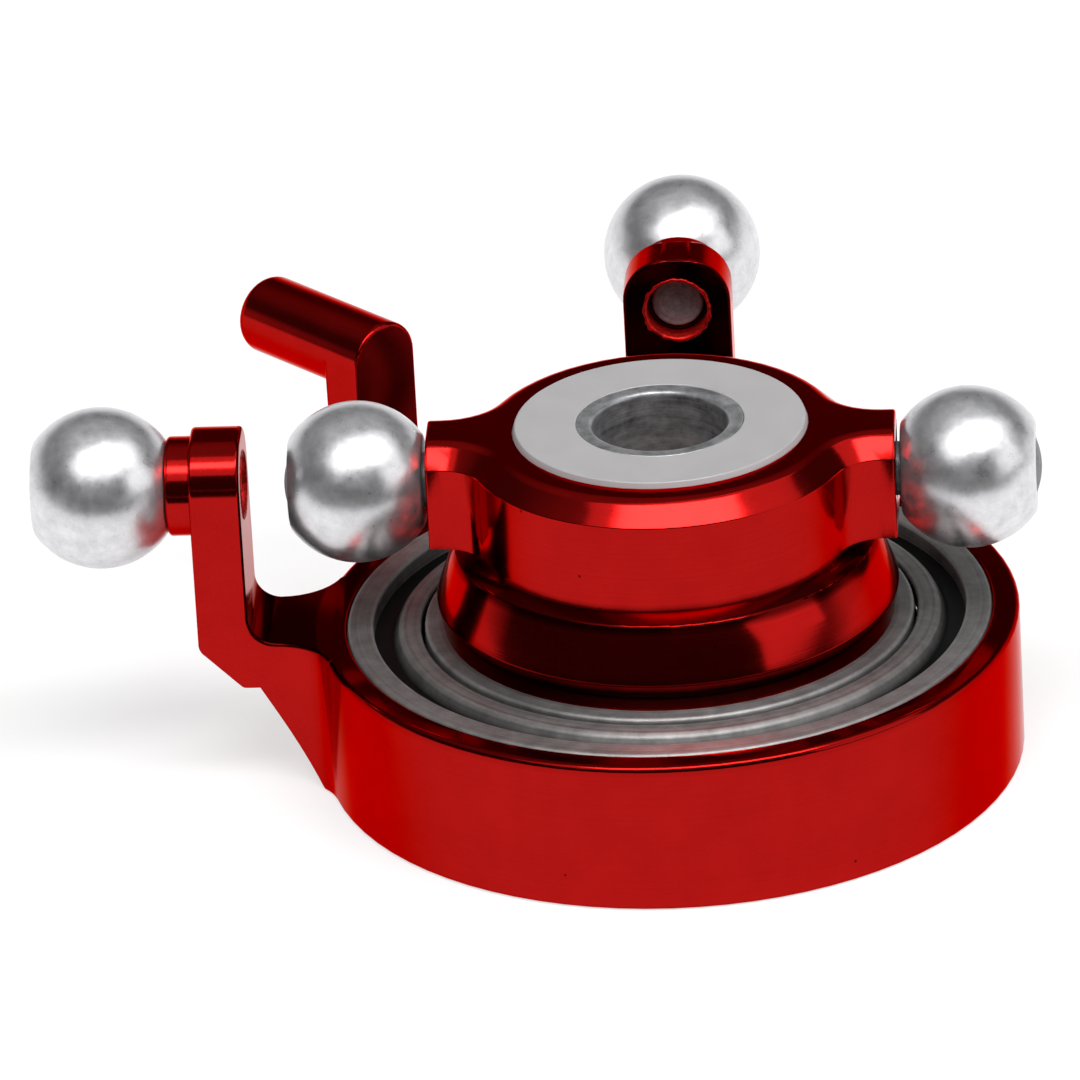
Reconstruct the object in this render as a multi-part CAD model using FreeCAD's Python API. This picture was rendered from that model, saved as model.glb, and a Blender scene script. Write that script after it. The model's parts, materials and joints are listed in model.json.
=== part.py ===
import FreeCAD, Part
import math
import os

# Two-servo helicopter swashplate, in millimetres.
# The origin is the centre of the uniball, where the main shaft and the tilt axes cross.
# +Z points up the main shaft, -X to the left servo arm and +Y to the rear servo arm.

Vector = FreeCAD.Vector

# Clearances
running_gap = 0.02          # between pieces that turn or tilt against each other
press_gap = 0.005           # between pieces that are pressed together
shortest_edge = 0.000001    # a shorter edge of an outline is left out

# Uniball and the sleeve that slides on the main shaft
main_shaft_diameter = 2.5
sleeve_wall = 0.3
sleeve_edge_break = 0.08
uniball_diameter = 5.8
uniball_height = 2.2        # over the two flats
uniball_stand_out = 0.1     # height of the upper flat above the hub
tilt_limit = 10.0           # degrees each way, about X and about Y

# Floating liner under the uniball, in degrees of latitude from the pivot plane
liner_thickness = 0.18
liner_high_latitude = -5.5
liner_low_latitude = -25.0
liner_travel_margin = 3.0   # latitude left free beyond the full tilt

# Ball seat and the ring that locks it into the hub from below
seat_edge_thickness = 0.11
seat_foot = 0.36            # height of the seat under its spherical face
seat_lip = 0.2              # radial step from the seat up to the lock ring
lock_ring_height = 0.6
lock_ring_wall = 0.55
spanner_notch_width = 0.7
spanner_notch_depth = 0.25

# Hub with its two ears
hub_wall = 0.48             # metal left outside the liner's pocket
hub_chamfer = 0.4
ear_length = 0.73           # from the hub's round body to the ear's end face
ear_width = 1.8
ear_fillet = 0.85
ear_drop = 1.0              # from the pivot plane down to the ear's underside
body_drop = 1.1             # down to the end of the round body
ledge_drop = 1.22
ledge_width = 0.32
flange_drop = 2.25          # down to the widest circle of the flare
flange_growth = 0.38        # from the ledge out to the widest circle
undercut = 0.1
shoulder_width = 0.2        # hub face that rests on the bearing's inner race
shoulder_drop = 2.8         # from the pivot plane down to the bearing's top face
spigot_wall = 0.675         # hub wall inside the bearing

# Snap ring under the inner race
snap_ring_thickness = 0.2
snap_ring_width = 0.6
snap_ring_bite = 0.25       # depth of its groove in the spigot
snap_ring_opening = 1.2

# Bearing
bearing_width = 2.5
inner_race_wall = 0.55
race_space = 0.95           # between the two races
outer_race_wall = 0.5
groove_depth = 0.125
race_edge_break = 0.08
bearing_ball_count = 14
shield_thickness = 0.12
shield_air = 0.23           # between a shield and the balls
shield_bite = 0.07          # depth of the shield's rim in the outer race
shield_inner_gap = 0.07     # between a shield and the inner race
shield_rise_width = 0.4     # raised part of a shield, next to the inner race
shield_slope_width = 0.12
shield_face_depth = 0.06    # raised part below the faces of the races
cage_gap = 0.12             # between the cage and each race
cage_floor_gap = 0.05       # between the cage and the lower shield
cage_pocket_gap = 0.03
cage_rise = 0.15            # height of the cage's fingers above the ball centres

# Outer ring
ring_wall = 0.5
lip_thickness = 0.4         # floor that carries the outer race
lip_width = 0.5
ring_top_round = 0.12
ring_bottom_round = 0.08

# Servo arms
arm_width = 2.05
arm_thickness = 0.95
arm_top_height = 1.03       # above the ball's axis
arm_top_round = 0.85
arm_foot_fillet = 0.5
arm_plan_fillet = 1.1
arm_heel = 0.93             # thickness of the arm between the ring's top and the gusset
arm_heel_flat = 0.31
arm_heel_inset = 0.15       # from the upright's inner face back to the gusset
arm_corner_round = 0.25
arm_edge_round = 0.09
left_arm_clearance = 0.76   # from the turning link pins to the left upright
rear_arm_clearance = 0.25
boss_diameter = 1.85
boss_length = 0.45

# Guide pin that stops the outer ring from turning
guide_angle = 135.8         # degrees from +X
guide_pin_diameter = 1.5
guide_pin_length = 2.55     # free length outside its post
guide_tip_round = 0.25
guide_post_thickness = 0.9
guide_post_clearance = 0.59

# Link balls and their pins
link_ball_diameter = 3.0
link_ball_width = 2.5       # over the two flats
link_ball_gap = 0.08        # between an ear of the hub and its ball
ball_pin_diameter = 1.0
pin_dome = 0.1              # rounded end that stands out of a ball
hub_pin_depth = 0.75        # length held in the hub's ear
servo_pin_recess = 0.35     # from the upright's inner face in to the pin's end
servo_hole_mouth = 1.2      # diameter of the widened mouth of the pin's hole
servo_hole_mouth_depth = 0.4

# Radii, from the main shaft outwards
bore_radius = main_shaft_diameter / 2
sleeve_radius = bore_radius + sleeve_wall
uniball_radius = uniball_diameter / 2
uniball_flat = uniball_height / 2
socket_radius = uniball_radius + running_gap
liner_inner_radius = uniball_radius + running_gap
liner_outer_radius = liner_inner_radius + liner_thickness
pocket_radius = liner_outer_radius + running_gap
seat_radius = pocket_radius - press_gap
lock_ring_radius = pocket_radius + seat_lip
hub_bore_radius = lock_ring_radius + press_gap
hub_body_radius = pocket_radius + hub_wall
ear_reach = hub_body_radius + ear_length
ledge_radius = hub_body_radius + ledge_width
flange_radius = ledge_radius + flange_growth
undercut_radius = flange_radius - undercut

race_bore_radius = hub_bore_radius + spigot_wall
spigot_radius = race_bore_radius - press_gap
inner_race_radius = race_bore_radius + inner_race_wall
ball_pitch_radius = inner_race_radius + race_space / 2
outer_race_inner_radius = inner_race_radius + race_space
bearing_radius = outer_race_inner_radius + outer_race_wall
bearing_ball_radius = race_space / 2 + groove_depth - running_gap
groove_radius = bearing_ball_radius + running_gap
ring_seat_radius = bearing_radius + press_gap
ring_radius = ring_seat_radius + ring_wall
lip_radius = ring_seat_radius - lip_width

link_ball_radius = link_ball_diameter / 2
link_ball_flat = link_ball_width / 2
ball_pin_radius = ball_pin_diameter / 2
link_ball_reach = ear_reach + link_ball_gap + link_ball_flat
link_pin_tip = link_ball_reach + link_ball_flat + pin_dome
left_arm_reach = link_pin_tip + left_arm_clearance
rear_arm_reach = link_pin_tip + rear_arm_clearance
guide_post_reach = link_pin_tip + guide_post_clearance
guide_pin_radius = guide_pin_diameter / 2

# Heights, from the pivot plane
hub_top = uniball_flat - uniball_stand_out
bearing_top = -shoulder_drop
bearing_middle = bearing_top - bearing_width / 2
bearing_bottom = bearing_top - bearing_width
ring_top = bearing_top
ring_bottom = bearing_bottom - lip_thickness
pocket_top_latitude = liner_high_latitude + tilt_limit + liner_travel_margin
pocket_top = pocket_radius * math.sin(math.radians(pocket_top_latitude))
seat_low_latitude = liner_low_latitude - tilt_limit - liner_travel_margin
seat_face_bottom = pocket_radius * math.sin(math.radians(seat_low_latitude))
seat_bore_radius = pocket_radius * math.cos(math.radians(seat_low_latitude))
seat_top = -math.sqrt(pocket_radius**2 - (seat_radius - seat_edge_thickness) ** 2)
seat_bottom = seat_face_bottom - seat_foot
lock_ring_bottom = seat_bottom - lock_ring_height
snap_ring_bottom = bearing_bottom - snap_ring_thickness


# Shape helpers

def in_side_view(u, v):
    return Vector(u, 0, v)


def in_front_view(u, v):
    return Vector(0, u, v)


def outline(corners, place):
    """Closed wire through corners (u, v, radius), with a tangent arc where the radius isn't zero."""
    starts, ends, middles = [], [], []
    for i, (u, v, radius) in enumerate(corners):
        corner = Vector(u, v, 0)
        before = Vector(corners[i - 1][0], corners[i - 1][1], 0) - corner
        beyond = corners[(i + 1) % len(corners)]
        after = Vector(beyond[0], beyond[1], 0) - corner
        half_angle = before.getAngle(after) / 2
        room = min(before.Length, after.Length) / 2
        setback = min(radius / math.tan(half_angle), room)
        radius = setback * math.tan(half_angle)
        before.normalize()
        after.normalize()
        inward = (before + after).normalize()
        starts.append(corner + before * setback)
        ends.append(corner + after * setback)
        middles.append(corner + inward * (radius / math.sin(half_angle) - radius))
    edges = []
    for i, (start, end, middle) in enumerate(zip(starts, ends, middles)):
        if (end - start).Length > shortest_edge:
            arc = Part.Arc(place(start.x, start.y), place(middle.x, middle.y), place(end.x, end.y))
            edges.append(arc.toShape())
        following = starts[(i + 1) % len(starts)]
        if (following - end).Length > shortest_edge:
            edges.append(Part.LineSegment(place(end.x, end.y), place(following.x, following.y)).toShape())
    return Part.Wire(edges)


def sharp(points):
    return [(u, v, 0) for u, v in points]


def revolved(corners):
    """Full turn about Z of a profile of corners (radius, height, corner radius)."""
    return Part.Face(outline(corners, in_side_view)).revolve(Vector(), Vector(0, 0, 1), 360)


def ring(inner, outer, low, high):
    return revolved(sharp([(inner, low), (outer, low), (outer, high), (inner, high)]))


def disc(radius, low, high):
    return Part.makeCylinder(radius, high - low, Vector(0, 0, low))


def rod(radius, start, end):
    """Cylinder along +X."""
    return Part.makeCylinder(radius, end - start, Vector(start, 0, 0), Vector(1, 0, 0))


def box(size_x, size_y, low, high):
    return Part.makeBox(size_x, size_y, high - low, Vector(-size_x / 2, -size_y / 2, low))


def spherical_band(inner, outer, low_latitude, high_latitude):
    """Shell between two spheres and two cones of latitude."""
    def at(radius, latitude):
        angle = math.radians(latitude)
        return in_side_view(radius * math.cos(angle), radius * math.sin(angle))

    middle = (low_latitude + high_latitude) / 2
    edges = [
        Part.Arc(at(outer, low_latitude), at(outer, middle), at(outer, high_latitude)).toShape(),
        Part.LineSegment(at(outer, high_latitude), at(inner, high_latitude)).toShape(),
        Part.Arc(at(inner, high_latitude), at(inner, middle), at(inner, low_latitude)).toShape(),
        Part.LineSegment(at(inner, low_latitude), at(outer, low_latitude)).toShape(),
    ]
    return Part.Face(Part.Wire(edges)).revolve(Vector(), Vector(0, 0, 1), 360)


def bored_ball(radius, flat, bore):
    """Ball about the origin with two flats and a bore, all about Z."""
    flat_radius = math.sqrt(radius**2 - flat**2)
    low = in_side_view(flat_radius, -flat)
    high = in_side_view(flat_radius, flat)
    edges = [
        Part.Arc(low, in_side_view(radius, 0), high).toShape(),
        Part.LineSegment(high, in_side_view(bore, flat)).toShape(),
        Part.LineSegment(in_side_view(bore, flat), in_side_view(bore, -flat)).toShape(),
        Part.LineSegment(in_side_view(bore, -flat), low).toShape(),
    ]
    return Part.Face(Part.Wire(edges)).revolve(Vector(), Vector(0, 0, 1), 360)


def turned(shape, degrees):
    copy = shape.copy()
    copy.rotate(Vector(), Vector(0, 0, 1), degrees)
    return copy


def joined(shape, others):
    return shape.fuse(others).removeSplitter()


# Outer ring with its arms

def fillet_centre(body_radius, half_width, fillet):
    """Centre of the concave fillet between a round body and a straight arm along +X."""
    y = half_width + fillet
    return Vector(math.sqrt((body_radius + fillet) ** 2 - y**2), y, 0)


def arm_plan(reach, half_width):
    centre = fillet_centre(ring_radius, half_width, arm_plan_fillet)
    on_ring = centre * (ring_radius / centre.Length)
    on_arm = Vector(centre.x, half_width, 0)
    toward = (on_ring + on_arm - centre * 2).normalize()
    middle = centre + toward * arm_plan_fillet

    def mirrored(point):
        return Vector(point.x, -point.y, 0)

    end = Vector(reach, half_width, 0)
    edges = [
        Part.LineSegment(Vector(), on_ring).toShape(),
        Part.Arc(on_ring, middle, on_arm).toShape(),
        Part.LineSegment(on_arm, end).toShape(),
        Part.LineSegment(end, mirrored(end)).toShape(),
        Part.LineSegment(mirrored(end), mirrored(on_arm)).toShape(),
        Part.Arc(mirrored(on_arm), mirrored(middle), mirrored(on_ring)).toShape(),
        Part.LineSegment(mirrored(on_ring), Vector()).toShape(),
    ]
    return Part.Face(Part.Wire(edges))


def arm(reach, width, thickness, top, top_round):
    """Bent arm along +X: a foot that grows out of the ring, a gusset below it and an upright."""
    outer = reach + thickness
    heel = ring_top - arm_heel
    heel_end = reach - arm_heel_inset + arm_heel_flat
    side = [
        (0, ring_bottom, 0),
        (ring_radius, ring_bottom, 0),
        (reach - arm_heel_inset, heel, 0),
        (heel_end, heel, 0),
        (outer, heel + (outer - heel_end), arm_corner_round),
        (outer, top, arm_edge_round),
        (reach, top, arm_edge_round),
        (reach, ring_top, arm_foot_fillet),
        (0, ring_top, 0),
    ]
    wide = ring_radius
    front = [
        (-wide, ring_bottom, 0),
        (wide, ring_bottom, 0),
        (wide, ring_top, 0),
        (width / 2, ring_top, 0),
        (width / 2, top, top_round),
        (-width / 2, top, top_round),
        (-width / 2, ring_top, 0),
        (-wide, ring_top, 0),
    ]
    plan_solid = arm_plan(outer, width / 2)
    plan_solid.translate(Vector(0, 0, ring_bottom))
    plan_solid = plan_solid.extrude(Vector(0, 0, top - ring_bottom))
    side_solid = Part.Face(outline(side, in_side_view))
    side_solid.translate(Vector(0, -wide, 0))
    side_solid = side_solid.extrude(Vector(0, 2 * wide, 0))
    front_solid = Part.Face(outline(front, in_front_view)).extrude(Vector(outer, 0, 0))
    return plan_solid.common(side_solid).common(front_solid)


def servo_arm(reach):
    upright = arm(reach, arm_width, arm_thickness, arm_top_height, arm_top_round)
    face = reach + arm_thickness
    return upright.fuse(rod(boss_diameter / 2, reach + arm_thickness / 2, face + boss_length))


def servo_pin_hole(reach):
    hole = rod(ball_pin_radius + press_gap, reach, reach + arm_thickness + 2 * boss_length)
    mouth = rod(servo_hole_mouth / 2, reach - arm_thickness / 2, reach + servo_hole_mouth_depth)
    return hole.fuse(mouth)


def guide_arm():
    radius = guide_pin_radius
    post = arm(guide_post_reach, guide_pin_diameter, guide_post_thickness, radius, radius)
    tip = guide_post_reach + guide_post_thickness + guide_pin_length
    start = guide_post_reach + guide_post_thickness / 2
    profile = [(start, 0, 0), (tip, 0, 0), (tip, radius, guide_tip_round), (start, radius, 0)]
    pin = Part.Face(outline(profile, in_side_view)).revolve(Vector(), Vector(1, 0, 0), 360)
    return post.fuse(pin)


def outer_ring():
    body = revolved([
        (0, ring_bottom, 0),
        (ring_radius, ring_bottom, ring_bottom_round),
        (ring_radius, ring_top, ring_top_round),
        (0, ring_top, 0),
    ])
    left = turned(servo_arm(left_arm_reach), 180)
    rear = turned(servo_arm(rear_arm_reach), 90)
    body = joined(body, [left, rear, turned(guide_arm(), guide_angle)])
    body = body.cut(disc(ring_seat_radius, bearing_bottom, ring_top + lip_thickness))
    body = body.cut(disc(lip_radius, ring_bottom - lip_thickness, bearing_top))
    holes = [turned(servo_pin_hole(left_arm_reach), 180), turned(servo_pin_hole(rear_arm_reach), 90)]
    return body.cut(holes)


# Link balls and pins, made along +X

def link_ball(reach):
    ball = bored_ball(link_ball_radius, link_ball_flat, ball_pin_radius + press_gap)
    ball.rotate(Vector(), Vector(0, 1, 0), 90)
    ball.translate(Vector(reach, 0, 0))
    return ball


def ball_pin(start, tip):
    """Pin with a domed outer end."""
    shank_end = tip - pin_dome
    inner_rim = in_side_view(start, ball_pin_radius)
    outer_rim = in_side_view(shank_end, ball_pin_radius)
    edges = [
        Part.LineSegment(in_side_view(start, 0), inner_rim).toShape(),
        Part.LineSegment(inner_rim, outer_rim).toShape(),
        Part.Arc(outer_rim, dome_middle(shank_end, tip), in_side_view(tip, 0)).toShape(),
        Part.LineSegment(in_side_view(tip, 0), in_side_view(start, 0)).toShape(),
    ]
    return Part.Face(Part.Wire(edges)).revolve(Vector(), Vector(1, 0, 0), 360)


def dome_middle(shank_end, tip):
    """Point halfway along the arc of a pin's domed end."""
    rise = tip - shank_end
    radius = (ball_pin_radius**2 + rise**2) / (2 * rise)
    angle = math.asin(ball_pin_radius / radius) / 2
    return in_side_view(tip - radius + radius * math.cos(angle), radius * math.sin(angle))


def servo_ball_reach(arm_reach):
    return arm_reach + arm_thickness + boss_length + press_gap + link_ball_flat


def servo_ball(arm_reach):
    return link_ball(servo_ball_reach(arm_reach))


def servo_pin(arm_reach):
    tip = servo_ball_reach(arm_reach) + link_ball_flat + pin_dome / 2
    return ball_pin(arm_reach + servo_pin_recess, tip)


# Bearing

def bearing_outer_race():
    shield_seat = bearing_width / 2 - shield_recess() - shield_thickness
    race = revolved([
        (outer_race_inner_radius, bearing_bottom, race_edge_break / 2),
        (bearing_radius, bearing_bottom, race_edge_break),
        (bearing_radius, bearing_top, race_edge_break),
        (outer_race_inner_radius, bearing_top, race_edge_break),
    ])
    grooves = [groove()]
    for side in (-1, 1):
        face = bearing_middle + side * shield_seat
        outer = bearing_middle + side * (shield_seat + shield_thickness)
        slot_inner = outer_race_inner_radius - outer_race_wall / 2
        slot_outer = outer_race_inner_radius + shield_bite
        grooves.append(ring(slot_inner, slot_outer, min(face, outer), max(face, outer)))
    return race.cut(grooves)


def bearing_inner_race():
    race = revolved([
        (race_bore_radius, bearing_bottom, race_edge_break),
        (inner_race_radius, bearing_bottom, race_edge_break),
        (inner_race_radius, bearing_top, race_edge_break),
        (race_bore_radius, bearing_top, race_edge_break),
    ])
    return race.cut(groove())


def groove():
    return Part.makeTorus(ball_pitch_radius, groove_radius, Vector(0, 0, bearing_middle))


def shield_recess():
    """Depth of a shield's flat part below the faces of the races."""
    return bearing_width / 2 - bearing_ball_radius - shield_air - shield_thickness


def shield(side):
    """Dished shield: side is 1 above the balls and -1 below them."""
    rim = outer_race_inner_radius + shield_bite - press_gap
    inner = inner_race_radius + shield_inner_gap
    rise = inner + shield_rise_width
    face = bearing_width / 2 - shield_face_depth
    flat = bearing_width / 2 - shield_recess()
    profile = [
        (inner, face), (rise, face), (rise + shield_slope_width, flat), (rim, flat),
        (rim, flat - shield_thickness), (rise + shield_slope_width, flat - shield_thickness),
        (rise, face - shield_thickness), (inner, face - shield_thickness),
    ]
    rounds = [0, shield_thickness, 0, 0, 0, 0, 0, 0]
    return revolved([(r, bearing_middle + side * z, corner) for (r, z), corner in zip(profile, rounds)])


def ball_centre(index):
    angle = 2 * math.pi * index / bearing_ball_count
    return Vector(ball_pitch_radius * math.cos(angle), ball_pitch_radius * math.sin(angle), bearing_middle)


def bearing_ball(index):
    return Part.makeSphere(bearing_ball_radius, ball_centre(index))


def bearing_cage():
    """Crown cage: a ring below the balls with fingers between them."""
    floor = bearing_middle - bearing_ball_radius - shield_air + cage_floor_gap
    inner = inner_race_radius + cage_gap
    outer = outer_race_inner_radius - cage_gap
    pocket = bearing_ball_radius + cage_pocket_gap
    crown = ring(inner, outer, floor, bearing_middle + cage_rise)
    return crown.cut([Part.makeSphere(pocket, ball_centre(i)) for i in range(bearing_ball_count)])


# Hub and what it holds

def ear_outline(body_radius, half_width, fillet, height):
    """Round body with an ear along -X and +X."""
    centre = fillet_centre(body_radius, half_width, fillet)
    on_body = centre * (body_radius / centre.Length)
    on_ear = Vector(centre.x, half_width, 0)
    middle = centre + (on_body + on_ear - centre * 2).normalize() * fillet
    quarter = [on_body, middle, on_ear, Vector(ear_reach, half_width, 0)]

    def placed(point, flip_x, flip_y):
        return Vector(point.x * flip_x, point.y * flip_y, height)

    edges = []
    for flip_x in (1, -1):
        upper = [placed(point, flip_x, flip_x) for point in quarter]
        lower = [placed(point, flip_x, -flip_x) for point in quarter]
        far_body = placed(on_body, -flip_x, -flip_x)
        edges += [
            Part.Arc(upper[0], upper[1], upper[2]).toShape(),
            Part.LineSegment(upper[2], upper[3]).toShape(),
            Part.LineSegment(upper[3], lower[3]).toShape(),
            Part.LineSegment(lower[3], lower[2]).toShape(),
            Part.Arc(lower[2], lower[1], lower[0]).toShape(),
            Part.Arc(lower[0], Vector(0, -flip_x * body_radius, height), far_body).toShape(),
        ]
    return Part.Wire(edges)


def hub_blank():
    half_width = ear_width / 2
    chamfer_start = hub_top - hub_chamfer
    wall = ear_outline(hub_body_radius, half_width, ear_fillet, -ear_drop)
    body = Part.Face(wall).extrude(Vector(0, 0, chamfer_start + ear_drop))
    below = ear_outline(hub_body_radius, half_width, ear_fillet, chamfer_start)
    above = ear_outline(
        hub_body_radius - hub_chamfer, half_width - hub_chamfer, ear_fillet + hub_chamfer, hub_top)
    crown = Part.makeLoft([below, above], True, True)
    stem = revolved([
        (0, ring_bottom, 0),
        (spigot_radius, ring_bottom, ring_bottom_round),
        (spigot_radius, bearing_top, 0),
        (spigot_radius + shoulder_width, bearing_top, 0),
        (undercut_radius, bearing_top + undercut / 2, 0),
        (flange_radius, -flange_drop, ring_top_round),
        (ledge_radius, -ledge_drop, ring_bottom_round),
        (hub_body_radius, -body_drop, 0),
        (hub_body_radius, 0, 0),
        (0, 0, 0),
    ])
    return joined(stem, [body, crown])


def hub():
    cavity = [
        Part.makeSphere(socket_radius),
        Part.makeSphere(pocket_radius).common(disc(pocket_radius, 0, pocket_top)),
        disc(pocket_radius, seat_bottom, 0),
        disc(hub_bore_radius, ring_bottom - lip_thickness, seat_bottom),
    ]
    groove_floor = spigot_radius - snap_ring_bite
    snap_groove = ring(groove_floor, spigot_radius + snap_ring_bite, snap_ring_bottom, bearing_bottom)
    pin_hole = rod(ball_pin_radius + press_gap, ear_reach - hub_pin_depth, ear_reach + ear_length)
    return hub_blank().cut(cavity + [snap_groove, pin_hole, turned(pin_hole, 180)])


def link_pin():
    return ball_pin(ear_reach - hub_pin_depth, link_pin_tip)


def ball_seat():
    """Ring that carries the liner, with a spherical face."""
    blank = ring(seat_bore_radius, seat_radius, seat_bottom, seat_top)
    return blank.cut(Part.makeSphere(pocket_radius))


def lock_ring():
    blank = ring(lock_ring_radius - lock_ring_wall, lock_ring_radius, lock_ring_bottom, seat_bottom)
    notch_top = lock_ring_bottom + spanner_notch_depth
    notch = box(3 * lock_ring_radius, spanner_notch_width, lock_ring_bottom, notch_top)
    return blank.cut(notch)


def snap_ring():
    inner = spigot_radius - snap_ring_bite + press_gap
    closed = ring(inner, inner + snap_ring_width, snap_ring_bottom, bearing_bottom)
    opening = box(2 * bearing_radius, snap_ring_opening, snap_ring_bottom, bearing_bottom)
    opening.translate(Vector(bearing_radius, 0, 0))
    return closed.cut(opening)


def ball_liner():
    return spherical_band(liner_inner_radius, liner_outer_radius, liner_low_latitude, liner_high_latitude)


def uniball():
    return bored_ball(uniball_radius, uniball_flat, sleeve_radius + press_gap)


def shaft_sleeve():
    return revolved([
        (bore_radius, -uniball_flat, sleeve_edge_break),
        (sleeve_radius, -uniball_flat, 0),
        (sleeve_radius, uniball_flat, 0),
        (bore_radius, uniball_flat, sleeve_edge_break),
    ])


# All pieces by name

pieces = {
    "outer_ring": outer_ring(),
    "bearing_outer_race": bearing_outer_race(),
    "upper_shield": shield(1),
    "lower_shield": shield(-1),
    "left_servo_ball": turned(servo_ball(left_arm_reach), 180),
    "left_servo_pin": turned(servo_pin(left_arm_reach), 180),
    "rear_servo_ball": turned(servo_ball(rear_arm_reach), 90),
    "rear_servo_pin": turned(servo_pin(rear_arm_reach), 90),
    "bearing_cage": bearing_cage(),
    "hub": hub(),
    "bearing_inner_race": bearing_inner_race(),
    "snap_ring": snap_ring(),
    "ball_seat": ball_seat(),
    "lock_ring": lock_ring(),
    "right_link_ball": link_ball(link_ball_reach),
    "right_link_pin": link_pin(),
    "left_link_ball": turned(link_ball(link_ball_reach), 180),
    "left_link_pin": turned(link_pin(), 180),
    "ball_liner": ball_liner(),
    "uniball": uniball(),
    "shaft_sleeve": shaft_sleeve(),
}
for index in range(bearing_ball_count):
    pieces[f"bearing_ball_{index + 1:02d}"] = bearing_ball(index)

os.makedirs("parts", exist_ok=True)
for name, shape in pieces.items():
    shape.exportStep(f"parts/{name}.step")
    print(name, "solids", len(shape.Solids), "valid", shape.isValid(), "volume", round(shape.Volume, 4))
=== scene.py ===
import json
import math

import bmesh
import bpy
from mathutils import Matrix, Quaternion, Vector, noise

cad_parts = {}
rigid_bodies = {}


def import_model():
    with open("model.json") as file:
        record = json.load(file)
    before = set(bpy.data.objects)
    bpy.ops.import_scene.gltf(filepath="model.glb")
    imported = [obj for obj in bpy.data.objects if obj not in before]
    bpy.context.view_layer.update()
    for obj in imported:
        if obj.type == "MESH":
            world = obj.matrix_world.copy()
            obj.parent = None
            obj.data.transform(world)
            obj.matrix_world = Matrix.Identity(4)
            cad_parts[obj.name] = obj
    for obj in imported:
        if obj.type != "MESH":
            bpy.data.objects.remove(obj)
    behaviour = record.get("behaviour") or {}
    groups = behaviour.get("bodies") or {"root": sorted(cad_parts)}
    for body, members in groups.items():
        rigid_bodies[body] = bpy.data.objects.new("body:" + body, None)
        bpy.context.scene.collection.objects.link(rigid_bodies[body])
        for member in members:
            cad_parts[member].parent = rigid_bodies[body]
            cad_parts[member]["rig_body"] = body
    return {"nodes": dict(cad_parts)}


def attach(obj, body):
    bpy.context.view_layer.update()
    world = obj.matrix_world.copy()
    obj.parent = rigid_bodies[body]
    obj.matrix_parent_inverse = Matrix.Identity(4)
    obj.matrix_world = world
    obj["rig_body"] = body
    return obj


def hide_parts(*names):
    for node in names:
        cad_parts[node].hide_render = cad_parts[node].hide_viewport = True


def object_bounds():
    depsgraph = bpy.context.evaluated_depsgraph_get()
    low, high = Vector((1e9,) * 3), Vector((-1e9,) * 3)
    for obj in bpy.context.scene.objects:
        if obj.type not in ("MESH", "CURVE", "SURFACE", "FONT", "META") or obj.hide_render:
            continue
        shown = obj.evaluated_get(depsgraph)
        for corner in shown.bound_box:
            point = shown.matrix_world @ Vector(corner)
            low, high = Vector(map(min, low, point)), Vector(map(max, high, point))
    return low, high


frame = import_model()
nodes = frame["nodes"]
cadLow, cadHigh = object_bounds()
print("frame loaded:", len(nodes), "nodes")

mm = 0.001      # the shapes below are drawn in millimetres


# sRGB hex to the linear colour that the shaders take
def linear(hexColour):
    def channel(pair):
        value = int(pair, 16) / 255
        return value / 12.92 if value <= 0.04045 else ((value + 0.055) / 1.055) ** 2.4
    return tuple(channel(hexColour[i:i + 2]) for i in (1, 3, 5)) + (1,)


# adds one node: settings are its own options, inputs are socket values or sockets to link from
def addNode(tree, kind, settings=None, inputs=None):
    node = tree.nodes.new(kind)
    for name, value in (settings or {}).items():
        setattr(node, name, value)
    for name, value in (inputs or {}).items():
        if isinstance(value, bpy.types.NodeSocket):
            tree.links.new(value, node.inputs[name])
        else:
            node.inputs[name].default_value = value
    return node


def newMaterial(name):
    material = bpy.data.materials.new(name)
    material.use_nodes = True
    tree = material.node_tree
    shader = tree.nodes["Principled BSDF"]
    return material, tree, shader


# Turns a finished bmesh into an object of the scene and frees it
def addObject(bm, name, material):
    mesh = bpy.data.meshes.new(name)
    bm.to_mesh(mesh)
    bm.free()
    mesh.materials.append(material)
    thing = bpy.data.objects.new(name, mesh)
    bpy.context.scene.collection.objects.link(thing)
    return thing


# Turned metal carries lathe lines. (distance from the axis, height along it) gives rings on faces
# and on walls alike, so one noise drawn on that pair follows the tool everywhere.
def latheCoordinates(tree, axis=2):
    place = addNode(tree, "ShaderNodeTexCoord").outputs["Object"]
    split = addNode(tree, "ShaderNodeSeparateXYZ", inputs={0: place})
    across = [split.outputs[i] for i in range(3) if i != axis]
    flat = addNode(tree, "ShaderNodeCombineXYZ", inputs={0: across[0], 1: across[1]})
    reach = addNode(tree, "ShaderNodeVectorMath", {"operation": "LENGTH"}, {0: flat.outputs[0]})
    pair = addNode(tree, "ShaderNodeCombineXYZ",
                   inputs={0: reach.outputs["Value"], 1: split.outputs[axis]})
    return place, pair.outputs[0], reach.outputs["Value"], split.outputs[axis]


# The direction that the lathe's tool ran in, for metal that is smoother along its lines
def latheDirection(tree, place, axis=2):
    along = [0, 0, 0]
    along[axis] = 1
    around = addNode(tree, "ShaderNodeVectorMath", {"operation": "CROSS_PRODUCT"},
                     {0: place, 1: along})
    turned = addNode(tree, "ShaderNodeVectorTransform",
                     {"vector_type": "VECTOR", "convert_from": "OBJECT", "convert_to": "WORLD"},
                     {0: around.outputs[0]})
    return addNode(tree, "ShaderNodeVectorMath", {"operation": "NORMALIZE"},
                   {0: turned.outputs[0]}).outputs[0]


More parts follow.
